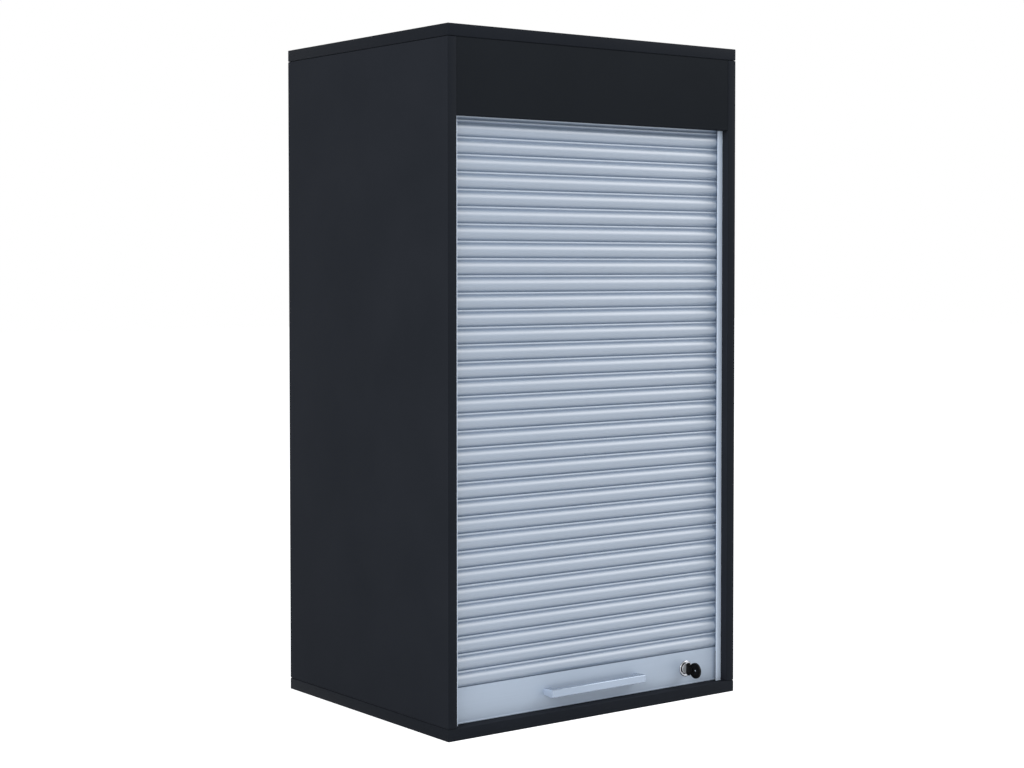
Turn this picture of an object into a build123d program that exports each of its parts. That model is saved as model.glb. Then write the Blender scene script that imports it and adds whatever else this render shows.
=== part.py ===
# Roll front tool cabinet: a board carcass with an interlocking slat shutter that lifts into two
# spiral cassettes behind the fascia. Millimetres, +Z up, front towards -Y, X to the right.
# The origin is on the floor, under the middle of the carcass.
from math import ceil
import os

from build123d import *

# ---- carcass ----
cabinet_width = 500.0
cabinet_height = 920.0
cabinet_depth = 400.0
cap_thickness = 16.0          # top and base boards, which cover the ends of the side boards
side_thickness = 14.0
edge_ease = 0.8               # chamfer along the edges that show
joint_gap = 0.2               # play of a board or panel between two others
back_thickness = 3.0
back_groove_depth = 6.0
back_inset = 10.0             # from the rear edges to the groove of the back panel
groove_play = 0.1

# ---- head space: fascia, ceiling board and cassettes ----
fascia_height = 100.0
fascia_setback = 1.0          # from the front edges of the carcass to the face of the fascia
fascia_sheet = 1.2
fascia_return = 27.0          # upper flange, which is screwed up under the top board
fascia_screw_setback = 21.2   # from the front edges of the carcass
ceiling_thickness = 10.0
ceiling_drop = 1.0            # from the lower edge of the fascia up to the ceiling board
ceiling_rail_gap = 2.0        # from the back of the rails to the front edge of the ceiling board
fascia_screw_inset = 60.0     # from the inner faces of the side boards

# ---- guide rails and cassettes ----
rail_setback = 12.0           # from the front edges of the carcass to the lips of the rails
rail_wall = 1.2
rail_lip = 9.2                # width of the front lip, which is what shows
rail_throat = 8.4             # clear width of the running channel
rail_leg_depth = 6.0          # barbed leg pressed into the side board
rail_leg_thickness = 2.0
cassette_plate = 2.2
cassette_rib_height = 7.0
cassette_run = 84.0           # straight part between the two round ends
cassette_headroom = 4.0       # from the cassette up to the top board
cassette_leg = 40.0           # height of the leg that holds the rear of a cassette
spiral_core = 17.0            # smallest radius that the slats can turn round

# ---- shutter curtain ----
slat_pitch = 22.35
slat_rise = 4.8               # of the domed face over its edges
slat_gap = 5.2                # between the domes of two slats, where the hinge bead shows
slat_wall = 1.1
slat_box_depth = 1.5          # from the edges of the dome to the flat back
slat_front_play = 0.7         # crown of the dome behind the lip of the rail
bead_radius = 1.5
bead_play = 0.1
bead_sides = 8                # the bead is drawn with flats, because every slat repeats it
hook_wall = 0.85
hook_start = 90.0             # the hook starts over the top of the bead and runs down its back
hook_end = -35.0
neck_thickness = 0.9
slat_end_play = 1.2           # from the end of a slat to the web of its rail

# ---- end bar ----
bar_bottom = 17.0             # above the floor
bar_hinge_height = 61.7       # centre of the bar's own bead
bar_setback = 17.0            # face of the bar behind the front edges of the carcass
bar_thickness = 4.4
bar_wall = 1.2
bar_top_lip = 1.6             # the face rises this far over the centre of the bead
bar_end_play = 2.0
bar_band = 9.0                # half height of the solid band behind the handle and the lock
seal_width = 2.8
seal_stem = 1.2
seal_stem_height = 2.4
seal_floor_gap = 0.2
shoe_width = 5.0
shoe_play = 0.3
shoe_height = 40.0
shoe_ease = 0.6

# ---- handle ----
handle_length = 163.5
handle_height = 10.5
handle_depth = 9.5
handle_foot_height = 9.0      # the feet taper to this at the bar
handle_foot_length = 10.0
handle_projection = 19.0
handle_centre_height = 40.3
handle_bore_depth = 8.0
handle_edge = 0.6
screw_radius = 2.0
screw_head_radius = 3.6
screw_head_height = 2.3
screw_play = 0.1
screw_length = 11.0           # under the head, into a board
screw_hole_depth = 12.5

# ---- lock ----
lock_from_side = 78.0         # centre from the outer face of the right side board
lock_height = 40.0
lock_flange_radius = 11.25
lock_flange_thickness = 2.2
lock_flange_bevel = 0.75
lock_barrel_radius = 9.0
lock_barrel_flats = 16.4
lock_barrel_length = 13.0     # behind the flange
lock_hole_play = 0.1
lock_nut_flats = 22.0
lock_nut_thickness = 3.0
plug_head_radius = 7.4
plug_head_thickness = 1.9
plug_proud = 0.3
plug_radius = 6.5
plug_play = 0.05
plug_tail = 1.0               # round part behind the barrel
keyway_width = 2.3
keyway_height = 9.2
keyway_depth = 15.5
cam_square = 7.0
cam_square_play = 0.05
cam_thickness = 2.0
cam_hub_radius = 8.0
cam_arm_width = 7.0
cam_arm_angle = 38.0          # the cam at rest, counter-clockwise from the right
cam_toe_angle = -14.0
cam_toe_inner = 18.0
cam_toe_outer = 21.0
rivet_radius = 5.6
rivet_thickness = 1.1

# ---- key, with a grip that folds flat to either side ----
blade_thickness = 1.9
blade_height = 8.8
blade_end_gap = 0.7           # from the tip to the bottom of the keyway
neck_front_gap = 0.6          # from the neck to the face of the plug
neck_height = 17.8
neck_plate = 3.0
neck_length = 7.6             # from the fold axis to the back of the neck
neck_corner = 4.0
neck_shoulder = 2.3           # from the fold axis to where the neck has its full height
knuckle_radius = 1.9
knuckle_half = 3.0            # half height of the middle knuckle
knuckle_outer = 6.2           # half height over the outer knuckles
knuckle_play = 0.15
fold_relief = 0.35
fold_pin_radius = 0.9
fold_pin_play = 0.06
grip_radius = 11.0
grip_reach = 10.4             # from the fold axis to the middle of the round grip
grip_hole_radius = 1.3
grip_edge = 0.5

# ---- strike on the base board ----
strike_sheet = 1.6
strike_width = 28.0
strike_foot = 16.0
strike_lip_left = 5.0
strike_lip_right = 4.0
strike_toe_play = 0.5
strike_cam_play = 3.3         # from the rivet of the cam to the upright of the strike

# ---- shelves ----
shelf_thickness = 16.0
shelf_front_setback = 45.0
shelf_side_gap = 0.5
shelf_heights = (266.0, 532.0)   # undersides above the floor
pin_radius = 2.5
pin_hole_radius = 2.55
pin_hole_depth = 10.0
pin_shank = 9.5               # in the side board
pin_stub = 8.0                # under the shelf
pin_row_inset = 37.0          # rows of pin holes from the front and back edges of a shelf
pin_pitch = 32.0

# ---- worked out from the sizes above ----
half_width = cabinet_width / 2
front = -cabinet_depth / 2
rear = cabinet_depth / 2
inner_half = half_width - side_thickness
base_top = cap_thickness
top_underside = cabinet_height - cap_thickness
fascia_bottom = top_underside - fascia_height
back_front = rear - back_inset - back_thickness - groove_play
lip_front = front + rail_setback
lip_back = lip_front + rail_wall                         # front of the running channel
rail_back = lip_back + rail_throat
dome_crown = lip_back + slat_front_play
dome_edge = dome_crown + slat_rise                       # also the hinge line of the curtain
slat_back = dome_edge + slat_box_depth
slat_half = inner_half - rail_wall - slat_end_play
hook_inner = bead_radius + bead_play
hook_outer = hook_inner + hook_wall
slat_count = ceil((fascia_bottom - bar_hinge_height) / slat_pitch)
bar_front = front + bar_setback
bar_back = bar_front + bar_thickness
bar_half = inner_half - rail_wall - bar_end_play
bar_box_top = bar_hinge_height - slat_gap / 2
lock_x = half_width - lock_from_side
barrel_back = bar_front + lock_barrel_length
plug_face = bar_front - lock_flange_thickness - plug_proud
cam_front = barrel_back + plug_tail
cam_back = cam_front + cam_thickness
rivet_back = cam_back + rivet_thickness
ceiling_bottom = fascia_bottom + ceiling_drop
ceiling_top = ceiling_bottom + ceiling_thickness
ceiling_front = rail_back + rail_wall + ceiling_rail_gap
neck_back = plug_face - neck_front_gap
fold_y = neck_back - neck_length
grip_y = fold_y - grip_reach

os.makedirs("parts", exist_ok=True)


# A block between two opposite corners.
def block(x0, x1, y0, y1, z0, z1):
    return Pos((x0 + x1) / 2, (y0 + y1) / 2, (z0 + z1) / 2) * Box(x1 - x0, y1 - y0, z1 - z0)


# A round rod that starts at a point and runs along a direction.
def rod(radius, start, direction, length):
    return Solid.make_cylinder(radius, length, Plane(origin=start, z_dir=direction))


# A flat shape in the Y-Z plane, pulled along X between two places.
def pull(profile, x0, x1):
    return extrude(Plane.YZ.offset(x0) * profile, amount=x1 - x0)


# A rectangle between two corners of a flat shape's own plane.
def patch(a0, a1, b0, b1):
    return Pos((a0 + a1) / 2, (b0 + b1) / 2) * Rectangle(a1 - a0, b1 - b0)


# Part of a flat ring, from one angle to another, counter-clockwise in its own plane.
def ring_part(centre, inner, outer, start, end):
    with BuildSketch() as ring:
        with BuildLine():
            out = CenterArc(centre, outer, start, end - start)
            back = CenterArc(centre, inner, end, start - end)
            Line(out @ 1, back @ 0)
            Line(back @ 1, out @ 0)
        make_face()
    return ring.sketch


def save(name, shape):
    export_step(shape, f"parts/{name}.step")


def save_group(name, solids):
    export_step(Compound(children=list(solids)), f"parts/{name}.step")


# A cheese-head screw. The head lies against the point, and the shank runs on from there.
def screw(point, direction, length):
    back = tuple(-d for d in direction)
    return (rod(screw_radius, point, direction, length)
            + rod(screw_head_radius, point, back, screw_head_height))


# ---- boards ----
def cap_board(z0, z1, groove_z0, groove_z1):
    board = block(-half_width, half_width, front, rear, z0, z1)
    board = chamfer(board.edges(), edge_ease)
    groove_half = inner_half + back_groove_depth
    return board - block(-groove_half, groove_half, back_front - groove_play,
                         back_front + back_thickness + groove_play, groove_z0, groove_z1)


def base_board():
    board = cap_board(0, base_top, base_top - back_groove_depth, base_top + 1)
    for point in strike_screws():
        board -= rod(screw_radius + screw_play, point, (0, 0, -1), screw_hole_depth)
    return board


def top_board():
    board = cap_board(top_underside, cabinet_height, top_underside - 1,
                      top_underside + back_groove_depth)
    for point in fascia_screws():
        board -= rod(screw_radius + screw_play, point, (0, 0, 1), screw_hole_depth)
    return board


# Where the shelf pins are: a front and a back one at each end of a shelf.
def pin_places():
    rows = (front + shelf_front_setback + pin_row_inset, back_front - pin_row_inset)
    return [(y, height - pin_radius) for height in shelf_heights for y in rows]


def side_board(hand):
    outer, inner = hand * half_width, hand * inner_half
    board = block(min(outer, inner), max(outer, inner), front, rear, base_top, top_underside)
    board = chamfer(board.edges().filter_by_position(Axis.X, outer - 0.01, outer + 0.01)
                    + board.edges().filter_by(Axis.Z).filter_by_position(
                        Axis.X, inner - 0.01, inner + 0.01), edge_ease)
    deep = inner + hand * back_groove_depth
    board -= block(min(inner - hand, deep), max(inner - hand, deep), back_front - groove_play,
                   back_front + back_thickness + groove_play, base_top - 1, top_underside + 1)
    leg = inner + hand * (rail_leg_depth + groove_play)
    for y, z0, z1 in [(rail_leg_front(), base_top - 1, fascia_bottom), *cassette_legs()]:
        board -= block(min(inner - hand, leg), max(inner - hand, leg), y - groove_play,
                       y + rail_leg_thickness + groove_play, z0 - groove_play, z1 + groove_play)
    # each shelf can stand at its height or one pitch lower
    for y, z in pin_places():
        for hole_z in (z, z - pin_pitch):
            board -= rod(pin_hole_radius, (inner, y, hole_z), (hand, 0, 0), pin_hole_depth)
    return board


def back_panel():
    half = inner_half + back_groove_depth - 3 * groove_play
    return block(-half, half, back_front, back_front + back_thickness,
                 base_top - back_groove_depth + 3 * groove_play,
                 top_underside + back_groove_depth - 3 * groove_play)


def ceiling_board():
    return block(-inner_half + joint_gap, inner_half - joint_gap, ceiling_front,
                 back_front - joint_gap, ceiling_bottom, ceiling_top)


def shelf(underside):
    half = inner_half - shelf_side_gap
    board = block(-half, half, front + shelf_front_setback, back_front - shelf_side_gap,
                  underside, underside + shelf_thickness)
    return chamfer(board.edges().filter_by(Axis.X).sort_by(Axis.Y)[:2], edge_ease)


# A plain steel pin, half in the side board and half under the shelf.
def shelf_pin(hand, y, z):
    end = hand * (inner_half + pin_shank)
    return rod(pin_radius, (end, y, z), (-hand, 0, 0), pin_shank + pin_stub)


# ---- fascia ----
def fascia_screws():
    x, y = inner_half - fascia_screw_inset, front + fascia_screw_setback
    return [(-x, y, top_underside), (x, y, top_underside)]


# A folded sheet: the upper flange is screwed under the top board, the lower one ends at the rails.
def fascia():
    y0 = front + fascia_setback
    half = inner_half - joint_gap
    face = block(-half, half, y0, y0 + fascia_sheet, fascia_bottom, top_underside)
    face += block(-half, half, y0, y0 + fascia_return, top_underside - fascia_sheet, top_underside)
    face += block(-half, half, y0, lip_front - joint_gap, fascia_bottom,
                  fascia_bottom + fascia_sheet)
    for x, y, z in fascia_screws():
        face -= rod(screw_radius + screw_play, (x, y, z), (0, 0, -1), 2 * fascia_sheet)
    return face


# ---- guide rails ----
def rail_leg_front():
    return (lip_back + rail_back - rail_leg_thickness) / 2


def guide_rail(hand):
    section = patch(0, rail_lip, lip_front, lip_back)
    section += patch(0, rail_wall, lip_front, rail_back + rail_wall)
    section += patch(0, rail_lip - rail_wall, rail_back, rail_back + rail_wall)
    section += patch(-rail_leg_depth, rail_wall, rail_leg_front(),
                     rail_leg_front() + rail_leg_thickness)
    rail = extrude(section, amount=fascia_bottom - base_top - joint_gap)
    rail = Pos(-inner_half, 0, base_top) * rail
    return rail if hand < 0 else mirror(rail, Plane.YZ)


# ---- spiral cassettes ----
# The curtain climbs out of the rail, turns back over the front round end and runs round an oval
# of two round ends joined by straight runs. Each half turn lies half a track pitch further in.
track_pitch = rail_throat + rail_wall
rib_radius = ((top_underside - cassette_headroom) - (ceiling_top + joint_gap)) / 2 - rail_wall / 2
spiral_z = ceiling_top + joint_gap + rail_wall / 2 + rib_radius
spiral_front = lip_back - rail_wall / 2 + rib_radius
spiral_rear = spiral_front + cassette_run


# The legs of a cassette, pressed into the side board as the rail's is: (front, bottom, top).
def cassette_legs():
    return [(rail_leg_front(), fascia_bottom, spiral_z),
            (spiral_rear, spiral_z - cassette_leg / 2, spiral_z + cassette_leg / 2)]


def spiral_ribs():
    half = rail_wall / 2
    inner_front = spiral_front + track_pitch / 2
    inner_z = spiral_z - track_pitch / 2
    # entry: the two walls of the rail go on up, then come the first quarter turn and the upper run
    ribs = patch(lip_front, lip_back, fascia_bottom, spiral_z)
    ribs += patch(rail_back, rail_back + rail_wall, fascia_bottom, inner_z)
    ribs += ring_part((spiral_front, spiral_z), rib_radius - half, rib_radius + half, 90, 180)
    radius, run_start = rib_radius, spiral_front
    while radius - track_pitch / 2 > spiral_core:
        ribs += patch(run_start, spiral_rear, spiral_z + radius - half, spiral_z + radius + half)
        ribs += ring_part((spiral_rear, spiral_z), radius - half, radius + half, -90, 90)
        ribs += patch(inner_front, spiral_rear, spiral_z - radius - half, spiral_z - radius + half)
        ribs += ring_part((inner_front, inner_z), radius - track_pitch / 2 - half,
                          radius - track_pitch / 2 + half, 90, 270)
        radius, run_start = radius - track_pitch, inner_front
    ribs += patch(run_start, spiral_rear, spiral_z + radius - half, spiral_z + radius + half)
    return ribs


def cassette(hand):
    reach = rib_radius + rail_wall / 2
    plate = patch(spiral_front, spiral_rear, spiral_z - reach, spiral_z + reach)
    plate += Pos(spiral_front, spiral_z) * Circle(reach)
    plate += Pos(spiral_rear, spiral_z) * Circle(reach)
    plate += patch(lip_front, rail_back + rail_wall, fascia_bottom, spiral_z)
    x = -inner_half
    body = pull(plate, x, x + cassette_plate)
    body += pull(spiral_ribs(), x, x + cassette_plate + cassette_rib_height)
    for y, z0, z1 in cassette_legs():
        body += block(x - rail_leg_depth, x + cassette_plate, y, y + rail_leg_thickness, z0, z1)
    return body if hand < 0 else mirror(body, Plane.YZ)


# ---- curtain slats ----
# The section of one slat with its lower hinge line at height 0: a hollow domed box, a hook that
# wraps the bead of the piece below, and a bead on a neck for the hook of the slat above.
def slat_section():
    low = slat_gap / 2
    high = slat_pitch - slat_gap / 2
    middle = slat_pitch / 2
    with BuildSketch() as box_profile:
        with BuildLine():
            ThreePointArc((dome_edge, low), (dome_crown, middle), (dome_edge, high))
            Polyline((dome_edge, high), (slat_back, high), (slat_back, low), (dome_edge, low))
        make_face()
    # the chamber follows the dome with three flats, because every slat repeats it
    chamber_back = dome_edge + slat_wall / 2
    shoulder = (middle - low) / 2
    chamber = Polyline((chamber_back, low + slat_wall), (chamber_back, high - slat_wall),
                       (dome_crown + 2 * slat_wall, middle + shoulder),
                       (dome_crown + 2 * slat_wall, middle - shoulder), close=True)
    hook = ring_part((dome_edge, 0), hook_inner, hook_outer, hook_end, hook_start)
    web = patch(dome_edge, slat_back, hook_inner + hook_wall / 3, low + slat_wall / 2)
    neck = patch(dome_edge - neck_thickness / 2, dome_edge + neck_thickness / 2,
                 high - slat_wall / 2, slat_pitch)
    bead = Pos(dome_edge, slat_pitch) * RegularPolygon(bead_radius, bead_sides)
    return box_profile.sketch - make_face(chamber) + hook + web + neck + bead


# ---- end bar ----
def double_d(radius, flats, y0, y1):
    barrel = rod(radius, (lock_x, y0, lock_height), (0, 1, 0), y1 - y0)
    return barrel & block(lock_x - flats / 2, lock_x + flats / 2, y0, y1,
                          lock_height - radius, lock_height + radius)


def handle_screw_places():
    half = handle_length / 2 - handle_foot_length / 2
    return [-half, half]


def end_bar():
    section = patch(bar_front, bar_back, bar_bottom, bar_box_top)
    section += patch(bar_front, bar_front + bar_wall, bar_box_top, bar_hinge_height + bar_top_lip)
    section += patch(bar_front, dome_edge + neck_thickness / 2, bar_box_top, bar_hinge_height)
    section += Pos(dome_edge, bar_hinge_height) * Circle(bead_radius)
    bar = pull(section, -bar_half, bar_half)
    # two long chambers, above and below the solid band that carries the handle and the lock
    for z0, z1 in ((bar_bottom + seal_stem_height + 2 * bar_wall, handle_centre_height - bar_band),
                   (handle_centre_height + bar_band, bar_box_top - bar_wall)):
        bar -= block(-bar_half - 1, bar_half + 1, bar_front + bar_wall, bar_back - bar_wall, z0, z1)
    stem_middle = (bar_front + bar_back) / 2
    bar -= block(-bar_half - 1, bar_half + 1, stem_middle - seal_stem / 2 - groove_play,
                 stem_middle + seal_stem / 2 + groove_play, bar_bottom - 1,
                 bar_bottom + seal_stem_height + groove_play)
    bar -= double_d(lock_barrel_radius + lock_hole_play, lock_barrel_flats + 2 * lock_hole_play,
                    bar_front - 1, bar_back + 1)
    for x in handle_screw_places():
        bar -= rod(screw_radius + screw_play, (x, bar_front - 1, handle_centre_height), (0, 1, 0),
                   bar_thickness + 2)
    return bar


def bottom_seal():
    middle = (bar_front + bar_back) / 2
    section = patch(middle - seal_width / 2, middle + seal_width / 2, base_top + seal_floor_gap,
                    bar_bottom)
    section += patch(middle - seal_stem / 2, middle + seal_stem / 2, base_top + seal_floor_gap,
                     bar_bottom + seal_stem_height)
    return pull(section, -bar_half, bar_half)


# A running shoe on each end of the bar fills the channel of the rail in front of the bar.
def bar_shoe(hand):
    z0 = (bar_bottom + bar_box_top - shoe_height) / 2
    outer = inner_half - rail_wall - shoe_play
    y0 = lip_back + shoe_play
    pad = block(outer - shoe_width, outer, y0, bar_front, z0, z0 + shoe_height)
    cheek = block(bar_half, outer, y0, rail_back - shoe_play, z0, z0 + shoe_height)
    shoe = chamfer((pad + cheek).edges().filter_by(Axis.Y).group_by(Axis.X)[-1], shoe_ease)
    return shoe if hand > 0 else mirror(shoe, Plane.YZ)


# ---- handle ----
def handle():
    half = handle_length / 2
    y0 = bar_front - handle_projection
    z = handle_centre_height
    grip = block(-half, half, y0, y0 + handle_depth, z - handle_height / 2, z + handle_height / 2)
    foot_side = Polyline((y0 + handle_depth / 2, -handle_height / 2),
                         (y0 + handle_depth, -handle_height / 2),
                         (bar_front, -handle_foot_height / 2), (bar_front, handle_foot_height / 2),
                         (y0 + handle_depth, handle_height / 2),
                         (y0 + handle_depth / 2, handle_height / 2), close=True)
    foot = Pos(0, 0, z) * pull(make_face(foot_side), -half, -half + handle_foot_length)
    bow = grip + foot + mirror(foot, Plane.YZ)
    front_face = bow.faces().sort_by(Axis.Y)[0]
    bow = chamfer(front_face.edges(), handle_edge)
    for x in handle_screw_places():
        bow -= rod(screw_radius + screw_play, (x, bar_front + 1, z), (0, -1, 0),
                   handle_bore_depth + 1)
    return bow


def bar_fasteners():
    hexagon = RegularPolygon(lock_nut_flats / 2, 6, major_radius=False)
    nut = extrude(Plane.XZ.offset(-bar_back) * Pos(lock_x, lock_height) * hexagon,
                  amount=-lock_nut_thickness)
    nut -= rod(lock_barrel_radius + lock_hole_play, (lock_x, bar_back - 1, lock_height), (0, 1, 0),
               lock_nut_thickness + 2)
    screws = [screw((x, bar_back, handle_centre_height), (0, -1, 0),
                    bar_thickness + handle_bore_depth - 1) for x in handle_screw_places()]
    return [nut, *screws]


# ---- lock ----
def lock_body():
    centre = (lock_x, bar_front - lock_flange_thickness, lock_height)
    flange = rod(lock_flange_radius, centre, (0, 1, 0), lock_flange_thickness)
    rim = flange.edges().filter_by(GeomType.CIRCLE).sort_by(Axis.Y)[0]
    flange = chamfer(rim, lock_flange_bevel)
    body = flange + double_d(lock_barrel_radius, lock_barrel_flats, bar_front, barrel_back)
    body -= rod(plug_radius + plug_play, centre, (0, 1, 0),
                lock_flange_thickness + lock_barrel_length + 1)
    return body - rod(plug_head_radius + plug_play, centre, (0, 1, 0),
                      plug_head_thickness - plug_proud + plug_play)


def lock_core():
    face = (lock_x, plug_face, lock_height)
    head = rod(plug_head_radius, face, (0, 1, 0), plug_head_thickness)
    head = chamfer(head.edges().filter_by(GeomType.CIRCLE).sort_by(Axis.Y)[0], plug_proud)
    core = head + rod(plug_radius, face, (0, 1, 0), cam_front - plug_face)
    core += block(lock_x - cam_square / 2, lock_x + cam_square / 2, cam_front, cam_back,
                  lock_height - cam_square / 2, lock_height + cam_square / 2)
    core += rod(rivet_radius, (lock_x, cam_back, lock_height), (0, 1, 0), rivet_thickness)
    return core - block(lock_x - keyway_width / 2, lock_x + keyway_width / 2, plug_face - 1,
                        plug_face + keyway_depth, lock_height - keyway_height / 2,
                        lock_height + keyway_height / 2)


# The hook cam: an arm from the hub to a toe that runs round the plug's axis, so that it slides
# under the lip of the strike as the plug turns.
def lock_cam():
    hub = Circle(cam_hub_radius)
    arm = Rot(0, 0, cam_arm_angle) * patch(0, (cam_toe_inner + cam_toe_outer) / 2,
                                           -cam_arm_width / 2, cam_arm_width / 2)
    toe = ring_part((0, 0), cam_toe_inner, cam_toe_outer, cam_toe_angle, cam_arm_angle)
    square = Rectangle(cam_square + 2 * cam_square_play, cam_square + 2 * cam_square_play)
    # Plane.XZ faces the front, so the pull goes backwards
    outline = Plane.XZ.offset(-cam_front) * Pos(lock_x, lock_height) * (hub + arm + toe - square)
    return extrude(outline, amount=-cam_thickness)


def strike_screws():
    foot_front = rivet_back + strike_cam_play
    y = foot_front + strike_sheet + (strike_foot - strike_sheet) / 2
    return [(lock_x + side * strike_width / 4, y, base_top) for side in (-1, 1)]


def strike_plate():
    upright = rivet_back + strike_cam_play
    lip_low = lock_height - cam_toe_inner + strike_toe_play
    lip_top = lip_low + strike_sheet
    x0, x1 = lock_x - strike_lip_left, lock_x + strike_lip_right
    plate = block(lock_x - strike_width / 2, lock_x + strike_width / 2, upright,
                  upright + strike_foot, base_top, base_top + strike_sheet)
    plate += block(x0, x1, upright, upright + strike_sheet, base_top, lip_top)
    plate += block(x0, x1, barrel_back + joint_gap, upright + strike_sheet, lip_low, lip_top)
    for x, y, z in strike_screws():
        plate -= rod(screw_radius + screw_play, (x, y, z - 1), (0, 0, 1), strike_sheet + 2)
    return plate


def panel_screws():
    screws = [screw((x, y, z + strike_sheet), (0, 0, -1), screw_length)
              for x, y, z in strike_screws()]
    screws += [screw((x, y, z - fascia_sheet), (0, 0, 1), screw_length)
               for x, y, z in fascia_screws()]
    return screws


# ---- key ----
def key():
    x, z = lock_x, lock_height
    tip = plug_face + keyway_depth - blade_end_gap
    blade = block(x - blade_thickness / 2, x + blade_thickness / 2, neck_back - 1, tip,
                  z - blade_height / 2, z + blade_height / 2)
    blade = chamfer(blade.edges().filter_by(Axis.X).sort_by(Axis.Y)[-2:], blade_thickness / 2)
    half = neck_height / 2
    shoulder = fold_y + neck_shoulder
    outline = Polyline((fold_y, -knuckle_outer), (shoulder, -half), (neck_back, -half),
                       (neck_back, half), (shoulder, half), (fold_y, knuckle_outer), close=True)
    lobe = fillet(make_face(outline).vertices().sort_by(Axis.X)[-2:], neck_corner)
    neck = Pos(0, 0, z) * pull(lobe, x - neck_plate / 2, x + neck_plate / 2)
    neck += rod(knuckle_radius, (x, fold_y, z - knuckle_outer), (0, 0, 1), 2 * knuckle_outer)
    relief = knuckle_radius + fold_relief
    neck -= rod(relief, (x, fold_y, z - knuckle_half - knuckle_play), (0, 0, 1),
                2 * (knuckle_half + knuckle_play))
    pin = rod(fold_pin_radius, (x, fold_y, z - knuckle_outer), (0, 0, 1), 2 * knuckle_outer)
    return blade + neck + pin


def key_grip():
    x, z = lock_x, lock_height
    disc = rod(grip_radius, (x - neck_plate / 2, grip_y, z), (1, 0, 0), neck_plate)
    disc = chamfer(disc.edges().filter_by(GeomType.CIRCLE), grip_edge)
    disc -= rod(knuckle_radius + fold_relief, (x, fold_y, z - grip_radius), (0, 0, 1),
                2 * grip_radius)
    disc -= rod(grip_hole_radius, (x - neck_plate, grip_y, z), (1, 0, 0), 2 * neck_plate)
    bridge = block(x - neck_plate / 2, x + neck_plate / 2, grip_y + grip_reach / 2, fold_y,
                   z - knuckle_half, z + knuckle_half)
    knuckle = rod(knuckle_radius, (x, fold_y, z - knuckle_half), (0, 0, 1), 2 * knuckle_half)
    hole = rod(fold_pin_radius + fold_pin_play, (x, fold_y, z - grip_radius), (0, 0, 1),
               2 * grip_radius)
    return disc + bridge + knuckle - hole


# ---- write every piece ----
save("base_board", base_board())
save("top_board", top_board())
save("side_left", side_board(-1))
save("side_right", side_board(1))
save("back_panel", back_panel())
save("fascia", fascia())
save("ceiling_board", ceiling_board())
save("shelf_lower", shelf(shelf_heights[0]))
save("shelf_upper", shelf(shelf_heights[1]))
save_group("shelf_pins", [shelf_pin(hand, y, z) for hand in (-1, 1) for y, z in pin_places()])
save("guide_left", guide_rail(-1))
save("guide_right", guide_rail(1))
save("cassette_left", cassette(-1))
save("cassette_right", cassette(1))
save_group("panel_screws", panel_screws())
save("strike_plate", strike_plate())

slat = pull(slat_section(), -slat_half, slat_half)
for number in range(1, slat_count + 1):
    lower_hinge = bar_hinge_height + (number - 1) * slat_pitch
    save(f"slat_{number:02d}", Pos(0, 0, lower_hinge) * slat)

save("end_bar", end_bar())
save("bottom_seal", bottom_seal())
save_group("bar_shoes", [bar_shoe(-1), bar_shoe(1)])
save("handle", handle())
save_group("bar_fasteners", bar_fasteners())
save("lock_body", lock_body())
save("lock_core", lock_core())
save("lock_cam", lock_cam())
save("key", key())
save("key_grip", key_grip())
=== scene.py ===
# Roll front tool cabinet: the finish of every piece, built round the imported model, in metres
from math import acos, asin, cos, pi, radians, sin, sqrt

import bmesh
import bpy
from mathutils import Matrix, Vector


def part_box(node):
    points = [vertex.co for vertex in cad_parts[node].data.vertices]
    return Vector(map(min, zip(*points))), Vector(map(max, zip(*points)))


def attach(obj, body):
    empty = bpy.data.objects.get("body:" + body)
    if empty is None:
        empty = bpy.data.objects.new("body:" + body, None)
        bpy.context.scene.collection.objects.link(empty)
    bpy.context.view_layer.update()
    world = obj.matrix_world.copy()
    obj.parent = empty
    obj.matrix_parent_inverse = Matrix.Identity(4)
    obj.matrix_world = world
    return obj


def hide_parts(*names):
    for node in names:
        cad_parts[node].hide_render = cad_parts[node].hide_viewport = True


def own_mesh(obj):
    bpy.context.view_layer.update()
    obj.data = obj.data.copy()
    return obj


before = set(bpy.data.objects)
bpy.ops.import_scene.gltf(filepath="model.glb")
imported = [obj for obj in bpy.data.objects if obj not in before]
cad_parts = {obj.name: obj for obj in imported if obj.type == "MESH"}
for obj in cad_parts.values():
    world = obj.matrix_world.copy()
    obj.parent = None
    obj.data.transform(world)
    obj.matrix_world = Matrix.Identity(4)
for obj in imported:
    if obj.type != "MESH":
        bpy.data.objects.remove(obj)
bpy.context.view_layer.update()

scene = bpy.context.scene
scene.view_settings.view_transform = "Standard"
slatNames = sorted(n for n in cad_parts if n.startswith("slat_"))
past = 0.001    # how far a cutter runs past the face that it opens
near = 1e-6     # places closer than this are the same place
print("frame loaded, slats:", len(slatNames))


# ---- shader groups ----
def newGroup(name, inputs, outputs):
    group = bpy.data.node_groups.new(name, "ShaderNodeTree")
    for label, kind, value in inputs:
        socket = group.interface.new_socket(name=label, in_out="INPUT", socket_type=kind)
        socket.default_value = value
    for label in outputs:
        group.interface.new_socket(name=label, in_out="OUTPUT", socket_type="NodeSocketFloat")
    return group, group.nodes.new("NodeGroupInput"), group.nodes.new("NodeGroupOutput")


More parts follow.
